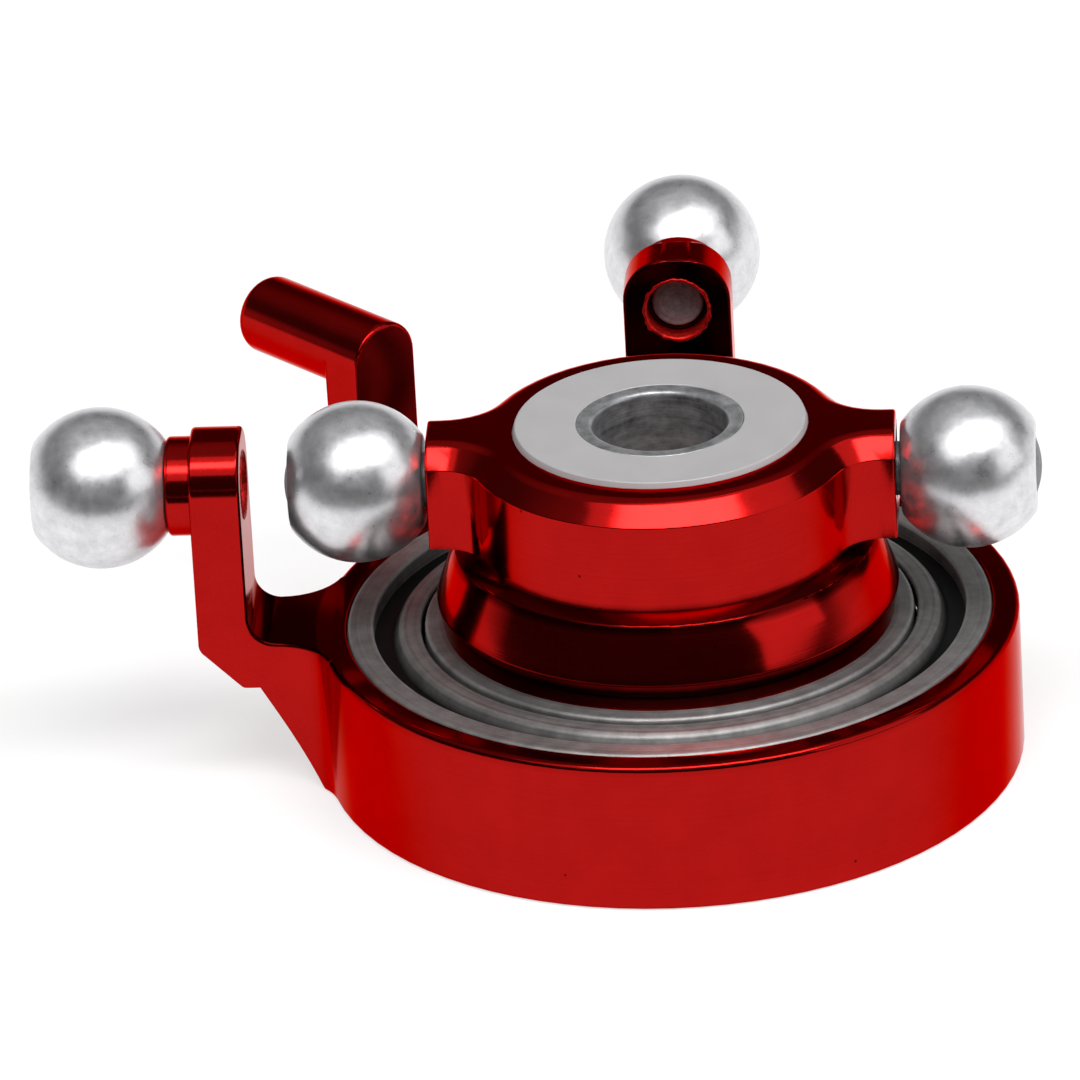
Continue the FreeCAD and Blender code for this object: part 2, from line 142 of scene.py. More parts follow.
anodising = {
    "colour": "#B01715", "deepColour": "#A01211",   # dye over bright metal, and where it is thick
    "edgeTint": "#FFA8A4",  # at a glancing view the reflection stays red for longer
    "roughness": 0.13, "spread": 0.07,
    "latheLine": 0.05,      # mm between lathe lines; the real 0.02 wouldn't show
    "lineDepth": 0.0004,    # mm
    "mottle": 0.9,          # mm, patches of the etch under the oxide
    "pit": 0.35, "pitRadius": 0.022,    # mm, size of the cells and of the speck in each
    "pitsLeftOut": 0.93,                # share of the cells without a speck
    "darkening": "#120202",    # painted shade under the hub's flare, round its foot and on the ring's top face; also the colour of the pits' specks
    "paintedShadeHeights": ((-3.02, 0), (-2.93, 0.1), (-2.83, 0.35), (-2.75, 0.9), (-2.40, 1), (-2.10, 0),
                      (-1.42, 0), (-1.30, 0.75), (-1.08, 0.8), (-1.01, 0.3), (-0.94, 0)),
    "paintedShadeWave": 0.08,             # mm, how unevenly its edges run
    "paintedShadeReach": (6.56, 6.9),     # mm from the shaft, where it ends on the arms
    # painted shade darkens the arms on the side towards the hub
    "innerShadeReach": (6.6, 8.15), "innerShadeShare": 0.93, "innerShadeOnPost": 0.15,
    "innerShadeFades": (0.1, 0.15),     # mm, before it starts and after it ends
    "towardHub": (-0.2, -0.6), "upward": (0.1, 0.4),    # slopes of the faces that catch it
    "footHeights": (-1.2, -1.7),    # mm, upward faces below this catch it too
    "besideArms": (1.4, 2.4),       # mm off both arms' lines, where the guide post begins
}


# How much painted shade lies here: on faces towards the hub and on the feet's upward faces
def paintedInnerShade(tree, place, reach, height):
    a = anodising
    facing = addNode(tree, "ShaderNodeVectorTransform",
                     {"vector_type": "NORMAL", "convert_from": "WORLD", "convert_to": "OBJECT"},
                     {0: addNode(tree, "ShaderNodeNewGeometry").outputs["True Normal"]})
    flat = addNode(tree, "ShaderNodeVectorMath", {"operation": "MULTIPLY"},
                   {0: place, 1: (1, 1, 0)})
    outward = addNode(tree, "ShaderNodeVectorMath", {"operation": "NORMALIZE"},
                      {0: flat.outputs[0]})
    away = addNode(tree, "ShaderNodeVectorMath", {"operation": "DOT_PRODUCT"},
                   {0: facing.outputs[0], 1: outward.outputs[0]})
    start, end = a["towardHub"]
    inward = addNode(tree, "ShaderNodeMapRange", inputs={
        0: away.outputs["Value"], 1: start, 2: end})
    up = addNode(tree, "ShaderNodeSeparateXYZ", inputs={0: facing.outputs[0]})
    start, end = a["upward"]
    upward = addNode(tree, "ShaderNodeMapRange", inputs={0: up.outputs[2], 1: start, 2: end})
    start, end = a["footHeights"]
    low = addNode(tree, "ShaderNodeMapRange", inputs={0: height, 1: start * mm, 2: end * mm})
    onFoot = addNode(tree, "ShaderNodeMath", {"operation": "MULTIPLY"},
                     {0: upward.outputs[0], 1: low.outputs[0]})
    caught = addNode(tree, "ShaderNodeMath", {"operation": "MAXIMUM"},
                     {0: inward.outputs[0], 1: onFoot.outputs[0]})
    start, end = a["innerShadeReach"]
    before, after = a["innerShadeFades"]
    beyondRing = addNode(tree, "ShaderNodeMapRange", inputs={
        0: reach, 1: (start - before) * mm, 2: start * mm})
    nearEnough = addNode(tree, "ShaderNodeMapRange", inputs={
        0: reach, 1: (end + after) * mm, 2: end * mm})
    apart = addNode(tree, "ShaderNodeSeparateXYZ", inputs={
        0: addNode(tree, "ShaderNodeVectorMath", {"operation": "ABSOLUTE"}, {0: place}).outputs[0]})
    offArms = addNode(tree, "ShaderNodeMath", {"operation": "MINIMUM"},
                      {0: apart.outputs[0], 1: apart.outputs[1]})
    start, end = a["besideArms"]
    amount = addNode(tree, "ShaderNodeMapRange", inputs={
        0: offArms.outputs[0], 1: start * mm, 2: end * mm,
        3: a["innerShadeShare"], 4: a["innerShadeOnPost"]})
    total = amount.outputs[0]
    for share in (caught, beyondRing, nearEnough):
        total = addNode(tree, "ShaderNodeMath", {"operation": "MULTIPLY"},
                        {0: total, 1: share.outputs[0]}).outputs[0]
    return total


# Aluminium 6061, turned and milled, then dyed red in the oxide: the metal shines through the
# dye, so even its reflections are red, and only a lamp's own mirror image turns pink.
def makeRedAnodised():
    a = anodising
    material, tree, shader = newMaterial("redAnodisedAluminium")
    place, pair, reach, height = latheCoordinates(tree)
    mottle = addNode(tree, "ShaderNodeTexNoise", inputs={
        "Vector": place, "Scale": 1 / (a["mottle"] * mm), "Detail": 4.0, "Roughness": 0.6})
    lines = addNode(tree, "ShaderNodeTexNoise", inputs={
        "Vector": pair, "Scale": 1 / (a["latheLine"] * mm), "Detail": 3.0, "Roughness": 0.7})
    both = addNode(tree, "ShaderNodeMath", {"operation": "ADD"},
                   {0: lines.outputs[0], 1: mottle.outputs[0]})
    share = addNode(tree, "ShaderNodeMapRange", inputs={0: both.outputs[0], 1: 0.6, 2: 1.4})
    dyed = addNode(tree, "ShaderNodeMix", {"data_type": "RGBA"}, {
        0: share.outputs[0], 6: linear(a["deepColour"]), 7: linear(a["colour"])})
    pits = addNode(tree, "ShaderNodeTexVoronoi", inputs={
        "Vector": place, "Scale": 1 / (a["pit"] * mm)})
    pitShare = a["pitRadius"] / a["pit"]
    nearPit = addNode(tree, "ShaderNodeMapRange", inputs={
        0: pits.outputs["Distance"], 1: pitShare, 2: 1.6 * pitShare, 3: 0.7, 4: 0.0})
    rare = addNode(tree, "ShaderNodeSeparateColor", inputs={0: pits.outputs["Color"]})
    chosen = addNode(tree, "ShaderNodeMath", {"operation": "GREATER_THAN"},
                     {0: rare.outputs[0], 1: a["pitsLeftOut"]})
    pitted = addNode(tree, "ShaderNodeMath", {"operation": "MULTIPLY"},
                     {0: nearPit.outputs[0], 1: chosen.outputs[0]})
    specked = addNode(tree, "ShaderNodeMix", {"data_type": "RGBA"}, {
        0: pitted.outputs[0], 6: dyed.outputs[2], 7: linear(a["darkening"])})
    # painted shade: darker under the hub's flare, round its foot, on the ring's top face and on the
    # arms' faces towards the hub
    waved = addNode(tree, "ShaderNodeMath", {"operation": "MULTIPLY_ADD"},
                    {0: mottle.outputs[0], 1: a["paintedShadeWave"] * mm, 2: height})
    lowest, highest = a["paintedShadeHeights"][0][0], a["paintedShadeHeights"][-1][0]
    lift = a["paintedShadeWave"] / 2
    level = addNode(tree, "ShaderNodeMapRange", inputs={
        0: waved.outputs[0], 1: (lowest + lift) * mm, 2: (highest + lift) * mm})
    darkening = addNode(tree, "ShaderNodeValToRGB", inputs={0: level.outputs[0]})
    stops = darkening.color_ramp.elements
    for index, (stopHeight, amount) in enumerate(a["paintedShadeHeights"]):
        position = (stopHeight - lowest) / (highest - lowest)
        if index == 0:
            stop = stops[0]
        elif index == len(a["paintedShadeHeights"]) - 1:
            stop = stops[len(stops) - 1]
        else:
            stop = stops.new(position)
        stop.position = position
        stop.color = (amount, amount, amount, 1)
    nearRing = addNode(tree, "ShaderNodeMapRange", inputs={
        0: reach, 1: a["paintedShadeReach"][0] * mm, 2: a["paintedShadeReach"][1] * mm, 3: 1.0, 4: 0.0})
    band = addNode(tree, "ShaderNodeMath", {"operation": "MULTIPLY"},
                   {0: darkening.outputs[0], 1: nearRing.outputs[0]})
    # painted shade on the arms' faces towards the hub and on their feet
    innerShade = paintedInnerShade(tree, place, reach, height)
    paintedShadeAmount = addNode(tree, "ShaderNodeMath", {"operation": "MAXIMUM"},
                      {0: band.outputs[0], 1: innerShade})
    colour = addNode(tree, "ShaderNodeMix", {"data_type": "RGBA"}, {
        0: paintedShadeAmount.outputs[0], 6: specked.outputs[2], 7: linear(a["darkening"])})
    rough = addNode(tree, "ShaderNodeMapRange", inputs={
        0: both.outputs[0], 1: 0.5, 2: 1.5,
        3: a["roughness"] - a["spread"] / 2, 4: a["roughness"] + a["spread"] / 2})
    bump = addNode(tree, "ShaderNodeBump", inputs={
        "Strength": 1.0, "Distance": a["lineDepth"] * mm, "Height": lines.outputs[0]})
    shader.inputs["Metallic"].default_value = 1.0
    shader.inputs["Specular Tint"].default_value = linear(a["edgeTint"])
    tree.links.new(colour.outputs[2], shader.inputs["Base Color"])
    tree.links.new(rough.outputs[0], shader.inputs["Roughness"])
    tree.links.new(bump.outputs[0], shader.inputs["Normal"])
    return material


# Plain metals differ in colour, in how fine the tool's lines are and in how much they scatter.
# A ground or worn steel face isn't all mirror, so metallic stays below 1 where it looks milky.
metals = {
    "groundBearingSteel": {     # hardened and ground: even grey, brighter across its fine rings
        "colours": ("#7C7A79", "#ABA9A8"), "metallic": 0.85, "roughness": 0.49, "spread": 0.12,
        "line": 0.07, "depth": 0.0004, "mottle": 0.4, "lineDirection": 0.5},
    "pressedShieldSteel": {     # pressed from bright strip: softer rings, slight waves
        "colours": ("#767473", "#A6A4A3"), "metallic": 0.85, "roughness": 0.50, "spread": 0.12,
        "line": 0.12, "depth": 0.0005, "mottle": 0.35, "lineDirection": 0.45,
        "recessShadeFrom": 5.06, "recessShadeTo": 5.16, "recessShade": "#0C0D0F"},     # mm from the shaft, painted shade in the shield's recess
    "polishedBallSteel": {      # lapped chromium steel: mirror with hardly a mark
        "colours": ("#C4C4C6", "#D6D6D8"), "metallic": 1.0, "roughness": 0.08, "spread": 0.04,
        "line": 0.2, "depth": 0.0001, "mottle": 0.5},
    "pressedCageSteel": {       # plain strip, oiled
        "colours": ("#8B8880", "#A09C94"), "metallic": 0.9, "roughness": 0.38, "spread": 0.14,
        "line": 0.1, "depth": 0.0006, "mottle": 0.4},
    "turnedPinSteel": {         # faced and turned: rings on the end
        "colours": ("#58585A", "#9A9A9C"), "metallic": 0.35, "roughness": 0.46, "spread": 0.14,
        "line": 0.05, "depth": 0.0005, "mottle": 0.12, "axis": 0},
    "turnedRearPinSteel": {     # the same pin steel, turned about the rear pin's own axis
        "colours": ("#58585A", "#9A9A9C"), "metallic": 0.35, "roughness": 0.46, "spread": 0.14,
        "line": 0.05, "depth": 0.0005, "mottle": 0.12, "axis": 1},
    "blackenedSpringSteel": {   # oil-blackened: dark, slightly blue
        "colours": ("#2E3034", "#45484D"), "metallic": 0.9, "roughness": 0.42, "spread": 0.14,
        "line": 0.1, "depth": 0.0006, "mottle": 0.4},
    "turnedSeatBrass": {        # free-cutting brass
        "colours": ("#B08D4A", "#C9A761"), "metallic": 1.0, "roughness": 0.28, "spread": 0.10,
        "line": 0.05, "depth": 0.0006, "mottle": 0.5, "lineDirection": 0.4},
    "turnedLockSteel": {
        "colours": ("#7C7C7E", "#949496"), "metallic": 0.9, "roughness": 0.34, "spread": 0.12,
        "line": 0.05, "depth": 0.0006, "mottle": 0.4, "lineDirection": 0.4},
    "reamedSleeveSteel": {      # reamed bore with scores round it, turned ends
        "colours": ("#5E6062", "#BCBCBE"), "metallic": 0.6, "roughness": 0.36, "spread": 0.14,
        "line": 0.10, "depth": 0.0008, "mottle": 0.35, "score": (0.5, 0.08)},
}


def makeMetal(name):
    a = metals[name]
    axis = a.get("axis", 2)
    material, tree, shader = newMaterial(name)
    place, pair, reach, _ = latheCoordinates(tree, axis)
    mottle = addNode(tree, "ShaderNodeTexNoise", inputs={
        "Vector": place, "Scale": 1 / (a["mottle"] * mm), "Detail": 5.0, "Roughness": 0.65})
    lines = addNode(tree, "ShaderNodeTexNoise", inputs={
        "Vector": pair, "Scale": 1 / (a["line"] * mm), "Detail": 3.0, "Roughness": 0.7})
    marks = lines.outputs[0]
    if "score" in a:
        acrossScore, alongScore = a["score"]
        stretched = addNode(tree, "ShaderNodeMapping", inputs={
            "Vector": place,
            "Scale": (1 / (acrossScore * mm), 1 / (acrossScore * mm), 1 / (alongScore * mm))})
        scores = addNode(tree, "ShaderNodeTexNoise", inputs={
            "Vector": stretched.outputs[0], "Scale": 1.0, "Detail": 3.0, "Roughness": 0.6})
        mixed = addNode(tree, "ShaderNodeMix", {"data_type": "FLOAT"}, {
            0: 0.5, 2: marks, 3: scores.outputs[0]})
        marks = mixed.outputs[0]
    both = addNode(tree, "ShaderNodeMath", {"operation": "ADD"}, {0: marks, 1: mottle.outputs[0]})
    share = addNode(tree, "ShaderNodeMapRange", inputs={0: both.outputs[0], 1: 0.7, 2: 1.3})
    colour = addNode(tree, "ShaderNodeMix", {"data_type": "RGBA"}, {
        0: share.outputs[0], 6: linear(a["colours"][0]), 7: linear(a["colours"][1])})
    # painted shade: the shield's sunk outer part is darkened, outward from the given distance
    if "recessShade" in a:
        inRecess = addNode(tree, "ShaderNodeMapRange", {"interpolation_type": "SMOOTHSTEP"}, {
            0: reach, 1: a["recessShadeFrom"] * mm, 2: a["recessShadeTo"] * mm})
        colour = addNode(tree, "ShaderNodeMix", {"data_type": "RGBA"}, {
            0: inRecess.outputs[0], 6: colour.outputs[2], 7: linear(a["recessShade"])})
    rough = addNode(tree, "ShaderNodeMapRange", inputs={
        0: both.outputs[0], 1: 0.5, 2: 1.5,
        3: a["roughness"] - a["spread"] / 2, 4: a["roughness"] + a["spread"] / 2})
    bump = addNode(tree, "ShaderNodeBump", inputs={
        "Strength": 1.0, "Distance": a["depth"] * mm, "Height": marks})
    shader.inputs["Metallic"].default_value = a["metallic"]
    tree.links.new(colour.outputs[2], shader.inputs["Base Color"])
    tree.links.new(rough.outputs[0], shader.inputs["Roughness"])
    tree.links.new(bump.outputs[0], shader.inputs["Normal"])
    if "lineDirection" in a:
        shader.inputs["Anisotropic"].default_value = a["lineDirection"]
        shader.inputs["Anisotropic Rotation"].default_value = 0.25
        tree.links.new(latheDirection(tree, place, axis), shader.inputs["Tangent"])
    return material


tumbling = {
    "colours": ("#D2D2D4", "#F0F0F3"), "metallic": 0.88, "roughness": 0.30, "spread": 0.07,
    "dent": 0.16, "dentDepth": 0.0017,   # mm, knocks from the tumbling barrel
    "grain": 0.04, "grainDepth": 0.0004,
    "cloud": 0.3,                       # mm, duller and brighter patches
}


# Link balls: aluminium, turned, then tumbled in a barrel: satin with soft knocks and cloudy patches
def makeTumbledBall():
    a = tumbling
    material, tree, shader = newMaterial("tumbledBallAluminium")
    place = addNode(tree, "ShaderNodeTexCoord").outputs["Object"]
    cloud = addNode(tree, "ShaderNodeTexNoise", inputs={
        "Vector": place, "Scale": 1 / (a["cloud"] * mm), "Detail": 6.0, "Roughness": 0.7})
    dents = addNode(tree, "ShaderNodeTexNoise", inputs={
        "Vector": place, "Scale": 1 / (a["dent"] * mm), "Detail": 2.0, "Roughness": 0.5})
    grain = addNode(tree, "ShaderNodeTexNoise", inputs={
        "Vector": place, "Scale": 1 / (a["grain"] * mm), "Detail": 2.0, "Roughness": 0.6})
    share = addNode(tree, "ShaderNodeMapRange", inputs={0: cloud.outputs[0], 1: 0.32, 2: 0.66})
    colour = addNode(tree, "ShaderNodeMix", {"data_type": "RGBA"}, {
        0: share.outputs[0], 6: linear(a["colours"][0]), 7: linear(a["colours"][1])})
    rough = addNode(tree, "ShaderNodeMapRange", inputs={
        0: cloud.outputs[0], 1: 0.32, 2: 0.66,
        3: a["roughness"] - a["spread"] / 2, 4: a["roughness"] + a["spread"] / 2})
    knocked = addNode(tree, "ShaderNodeBump", inputs={
        "Strength": 1.0, "Distance": a["dentDepth"] * mm, "Height": dents.outputs[0]})
    grained = addNode(tree, "ShaderNodeBump", inputs={
        "Strength": 1.0, "Distance": a["grainDepth"] * mm, "Height": grain.outputs[0],
        "Normal": knocked.outputs[0]})
    shader.inputs["Metallic"].default_value = a["metallic"]
    tree.links.new(colour.outputs[2], shader.inputs["Base Color"])
    tree.links.new(rough.outputs[0], shader.inputs["Roughness"])
    tree.links.new(grained.outputs[0], shader.inputs["Normal"])
    return material


blasting = {
    "colours": ("#B2B0B1", "#BCBABB"), "metallic": 0.25, "roughness": 0.6, "spread": 0.08,
    "pit": 0.035, "pitDepth": 0.0012,   # mm, pits of the glass beads
    "cloud": 0.7,
}


# Uniball: aluminium, bead-blasted: fine even matt grey that hardly mirrors.
def makeBlastedUniball():
    a = blasting
    material, tree, shader = newMaterial("blastedUniballAluminium")
    place = addNode(tree, "ShaderNodeTexCoord").outputs["Object"]
    pits = addNode(tree, "ShaderNodeTexNoise", inputs={
        "Vector": place, "Scale": 1 / (a["pit"] * mm), "Detail": 3.0, "Roughness": 0.6})
    cloud = addNode(tree, "ShaderNodeTexNoise", inputs={
        "Vector": place, "Scale": 1 / (a["cloud"] * mm), "Detail": 4.0})
    colour = addNode(tree, "ShaderNodeMix", {"data_type": "RGBA"}, {
        0: cloud.outputs[0], 6: linear(a["colours"][0]), 7: linear(a["colours"][1])})
    rough = addNode(tree, "ShaderNodeMapRange", inputs={
        0: cloud.outputs[0], 1: 0.3, 2: 0.7,
        3: a["roughness"] - a["spread"] / 2, 4: a["roughness"] + a["spread"] / 2})
    bump = addNode(tree, "ShaderNodeBump", inputs={
        "Strength": 1.0, "Distance": a["pitDepth"] * mm, "Height": pits.outputs[0]})
    shader.inputs["Metallic"].default_value = a["metallic"]
    tree.links.new(colour.outputs[2], shader.inputs["Base Color"])
    tree.links.new(rough.outputs[0], shader.inputs["Roughness"])
    tree.links.new(bump.outputs[0], shader.inputs["Normal"])
    return material


moulding = {"colours": ("#E2DFD6", "#EDEAE3"), "roughness": 0.4, "skin": 0.08, "skinDepth": 0.001}


# Liner: acetal, moulded: waxy off-white with a faint skin texture.
def makeMouldedAcetal():
    a = moulding
    material, tree, shader = newMaterial("mouldedAcetal")
    place = addNode(tree, "ShaderNodeTexCoord").outputs["Object"]
    skin = addNode(tree, "ShaderNodeTexNoise", inputs={
        "Vector": place, "Scale": 1 / (a["skin"] * mm), "Detail": 3.0})
    colour = addNode(tree, "ShaderNodeMix", {"data_type": "RGBA"}, {
        0: skin.outputs[0], 6: linear(a["colours"][0]), 7: linear(a["colours"][1])})
    bump = addNode(tree, "ShaderNodeBump", inputs={
        "Strength": 1.0, "Distance": a["skinDepth"] * mm, "Height": skin.outputs[0]})
    shader.inputs["Roughness"].default_value = a["roughness"]
    shader.inputs["IOR"].default_value = 1.48
    tree.links.new(colour.outputs[2], shader.inputs["Base Color"])
    tree.links.new(bump.outputs[0], shader.inputs["Normal"])
    return material


finishes = {
    "red_anodised": makeRedAnodised(),
    "bearing_steel": makeMetal("groundBearingSteel"),
    "shield_steel": makeMetal("pressedShieldSteel"),
    "ball_steel": makeMetal("polishedBallSteel"),
    "cage_steel": makeMetal("pressedCageSteel"),
    "link_ball": makeTumbledBall(),
    "pin_steel": makeMetal("turnedPinSteel"),
    "spring_steel": makeMetal("blackenedSpringSteel"),
    "seat_brass": makeMetal("turnedSeatBrass"),
    "lock_steel": makeMetal("turnedLockSteel"),
    "liner_plastic": makeMouldedAcetal(),
    "uniball_aluminium": makeBlastedUniball(),
    "sleeve_steel": makeMetal("reamedSleeveSteel"),
}
slotOf = {}
for nodeName, node in nodes.items():
    slotOf[nodeName] = node.material_slots[0].material.name.split(".")[0]
    for place in node.material_slots:
        place.material = finishes[slotOf[nodeName]]
rearPinFinish = makeMetal("turnedRearPinSteel")
print("finishes:", len(finishes) + 1)


creaseAngle = 35        # degrees: a sharper edge is shaded as a crease
samePlace = 0.0005      # mm: closer points are one point


# Scales a mesh drawn in millimetres to metres and makes it the piece that stands for a CAD node
def finishPiece(bm, pieceName, nodeName, material=None):
    bmesh.ops.scale(bm, verts=bm.verts, vec=(mm, mm, mm))
    for face in bm.faces:
        face.smooth = True
    for edge in bm.edges:
        edge.smooth = not edge.is_manifold or edge.calc_face_angle() < math.radians(creaseAngle)
    piece = addObject(bm, pieceName, material or finishes[slotOf[nodeName]])
    # flat faces stay flat next to rounded edges
    even = piece.modifiers.new("evenShading", "WEIGHTED_NORMAL")
    even.mode = "CORNER_ANGLE"      # by area it fails on faces this small
    even.keep_sharp = True
    even.use_face_influence = True
    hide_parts(nodeName)
    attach(piece, nodes[nodeName]["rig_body"])
    return piece


# Rounds edges: width is in millimetres. The new faces count less than the old ones in the shading.
def roundEdges(bm, edges, width, segments=3):
    earlier = bm.faces.layers.int.get("__mod_weightednormals_faceweight")
    bmesh.ops.bevel(bm, geom=edges, offset=width, offset_type="OFFSET", affect="EDGES",
                    segments=segments, profile=0.5, material=-1, clamp_overlap=False,
                    face_strength_mode="AFFECTED" if earlier else "ALL")


# A merged copy of a CAD node's mesh, in millimetres, with its flat faces in one piece each.
# Edges too short to be rounded at shortAt, a height, are closed first.
def mergedCopy(nodeName, shortAt=None):
    bm = bmesh.new()
    bm.from_mesh(nodes[nodeName].data)
    bmesh.ops.scale(bm, verts=bm.verts, vec=(1 / mm, 1 / mm, 1 / mm))
    bmesh.ops.remove_doubles(bm, verts=bm.verts, dist=2 * samePlace)
    bmesh.ops.dissolve_limit(bm, angle_limit=math.radians(0.05), verts=bm.verts, edges=bm.edges)
    if shortAt is not None:
        d = deburring
        # in the mesh's own order, because a set's order changes from run to run, and the shape with it
        short = dict.fromkeys(
            vert for edge in bm.edges if edge.calc_length() < d["short"] and all(
                abs(end.co.z - shortAt) < d["shortReach"] for end in edge.verts) for vert in edge.verts)
        bmesh.ops.remove_doubles(bm, verts=list(short), dist=d["short"])
    return bm


def sharpEdges(bm, angle, keep=None):
    return [edge for edge in bm.edges
            if edge.is_manifold and edge.is_convex and edge.calc_face_angle() > math.radians(angle)
            and (keep is None or keep(edge.verts[0].co, edge.verts[1].co))]


bearing = {
    "bore": 4.0, "innerRace": 4.55, "outerRaceInner": 5.5, "outerRace": 6.0,    # radii
    "top": -2.8, "middle": -4.05, "bottom": -5.3,
    "pitchRadius": 5.025, "grooveRadius": 0.6,
    "grooveHalf": 37.67,        # degrees, half of a groove's arc
    "edgeBreak": 0.08,
    "shieldInner": 4.62, "riseEnd": 5.02, "slopeEnd": 5.14, "rim": 5.565, "slot": 5.57,     # radii
    "faceDepth": 0.06, "flatDepth": 0.32, "sheet": 0.12,
    "riseRound": 0.11, "footRound": 0.06, "lipRound": 0.05,
}


deburring = {
    "sharpAngle": 28,       # degrees between faces, from which an edge is broken
    "arm": 0.07, "hub": 0.05, "crownTop": 0.12, "crownFoot": 0.012,     # mm
    "crownFrom": 0.55, "crownBeyond": 3.0,      # mm, height and distance where the hub's crown is
    "earFrom": 4.3, "earAbove": -0.5,           # mm from the middle plane, and height
    "short": 0.035, "shortReach": 0.015,        # mm, edges too short to be rounded
}


def makeRingWithArms():
    d = deburring
    bm = mergedCopy("outer_ring", bearing["top"])
    roundEdges(bm, sharpEdges(bm, d["sharpAngle"]), d["arm"])
    # the corners where rounded edges meet hold points in one place
    bmesh.ops.remove_doubles(bm, verts=bm.verts, dist=samePlace)
    bmesh.ops.recalc_face_normals(bm, faces=bm.faces)
    return finishPiece(bm, "ringWithArms", "outer_ring")


def makeHubWithEars():
    d = deburring
    bm = mergedCopy("hub")

    def offEars(a, b):
        return min(abs(a.x), abs(b.x)) < d["earFrom"]

    crown = sharpEdges(bm, d["sharpAngle"], lambda a, b: min(a.z, b.z) > d["crownFrom"]
                       and min(a.xy.length, b.xy.length) > d["crownBeyond"] and offEars(a, b))
    middle = sum(edge.verts[0].co.z for edge in crown) / len(crown)
    crownTop = [edge for edge in crown if edge.verts[0].co.z > middle]
    roundEdges(bm, crownTop, d["crownTop"], 5)
    crownFoot = sharpEdges(bm, d["sharpAngle"], lambda a, b: min(a.z, b.z) > d["crownFrom"]
                           and max(a.z, b.z) < middle and offEars(a, b))
    roundEdges(bm, crownFoot, d["crownFoot"], 2)
    earEnds = sharpEdges(bm, d["sharpAngle"], lambda a, b: max(a.z, b.z) > d["earAbove"]
                         and min(abs(a.x), abs(b.x)) > d["earFrom"])
    roundEdges(bm, earEnds, d["hub"])
    return finishPiece(bm, "hubWithEars", "hub")


# Turned pieces start as half a section in the XZ plane, drawn vertex by vertex from its moves:
# a corner (distance, height) or an arc (centre distance, centre height, degrees, steps).
def drawSection(bm, start, moves):
    first = last = bm.verts.new((start[0], 0, start[1]))
    for move in moves:
        if len(move) == 2:
            last = bmesh.ops.extrude_vert_indiv(bm, verts=[last])["verts"][0]
            last.co = (move[0], 0, move[1])
        else:
            swept = bmesh.ops.spin(bm, geom=[last], cent=(move[0], 0, move[1]), axis=(0, -1, 0),
                                   angle=math.radians(move[2]), steps=move[3], use_duplicate=False)
            last = swept["geom_last"][0]
    if first.co.x > 0.0001 or last.co.x > 0.0001:
        bm.edges.new((last, first))


# rounds lists (distance, height, width) of the section's corners that get an edge break
def turnSection(start, moves, rounds=(), steps=256):
    bm = bmesh.new()
    drawSection(bm, start, moves)
    bmesh.ops.spin(bm, geom=bm.verts[:] + bm.edges[:], cent=(0, 0, 0), axis=(0, 0, 1),
                   angle=2 * math.pi, steps=steps, use_merge=True, use_duplicate=False)
    bmesh.ops.remove_doubles(bm, verts=bm.verts, dist=samePlace)
    bmesh.ops.recalc_face_normals(bm, faces=bm.faces)
    for distance, height, width in rounds:
        circle = [edge for edge in bm.edges if all(
            abs(vert.co.xy.length - distance) < 4 * samePlace
            and abs(vert.co.z - height) < 4 * samePlace for vert in edge.verts)]
        roundEdges(bm, circle, width)
    return bm


def makeBearingOuterRace():
    b = bearing
    inner, outer, slot = b["outerRaceInner"], b["outerRace"], b["slot"]
    grooveEdge = b["grooveRadius"] * math.sin(math.radians(b["grooveHalf"]))
    slotTop, slotBottom = b["top"] - b["flatDepth"], b["top"] - b["flatDepth"] - b["sheet"]
    lowSlotTop, lowSlotBottom = 2 * b["middle"] - slotBottom, 2 * b["middle"] - slotTop
    moves = [(outer, b["bottom"]), (outer, b["top"]), (inner, b["top"]),
             (inner, slotTop), (slot, slotTop), (slot, slotBottom), (inner, slotBottom),
             (inner, b["middle"] + grooveEdge),
             (b["pitchRadius"], b["middle"], -2 * b["grooveHalf"], 12),
             (inner, lowSlotTop), (slot, lowSlotTop),
             (slot, lowSlotBottom), (inner, lowSlotBottom)]
    rounds = [(outer, b["bottom"], b["edgeBreak"]), (outer, b["top"], b["edgeBreak"]),
              (inner, b["top"], b["edgeBreak"])]
    bm = turnSection((inner, b["bottom"]), moves, rounds)
    return finishPiece(bm, "bearingOuterRace", "bearing_outer_race")


def makeBearingInnerRace():
    b = bearing
    grooveEdge = b["grooveRadius"] * math.sin(math.radians(b["grooveHalf"]))
    moves = [(b["innerRace"], b["bottom"]), (b["innerRace"], b["middle"] - grooveEdge),
             (b["pitchRadius"], b["middle"], -2 * b["grooveHalf"], 12),
             (b["innerRace"], b["top"]), (b["bore"], b["top"])]
    rounds = [(distance, height, b["edgeBreak"])
              for distance in (b["bore"], b["innerRace"]) for height in (b["bottom"], b["top"])]
    bm = turnSection((b["bore"], b["bottom"]), moves, rounds)
    return finishPiece(bm, "bearingInnerRace", "bearing_inner_race")


# The two shields are alike: the lower one is drawn upside down
def makeShield(pieceName, nodeName, side):
    b = bearing

    def at(distance, depth):
        return (distance, b["middle"] + side * (b["top"] - b["middle"] - depth))

    face, flat, sheet = b["faceDepth"], b["flatDepth"], b["sheet"]
    corners = [at(b["riseEnd"], face), at(b["slopeEnd"], flat), at(b["rim"], flat),
               at(b["rim"], flat + sheet), at(b["slopeEnd"], flat + sheet),
               at(b["riseEnd"], face + sheet), at(b["shieldInner"], face + sheet)]
    rounds = [at(b["riseEnd"], face) + (b["riseRound"],),
              at(b["slopeEnd"], flat) + (b["footRound"],),
              at(b["shieldInner"], face) + (b["lipRound"],)]
    bm = turnSection(at(b["shieldInner"], face), corners, rounds)
    return finishPiece(bm, pieceName, nodeName)


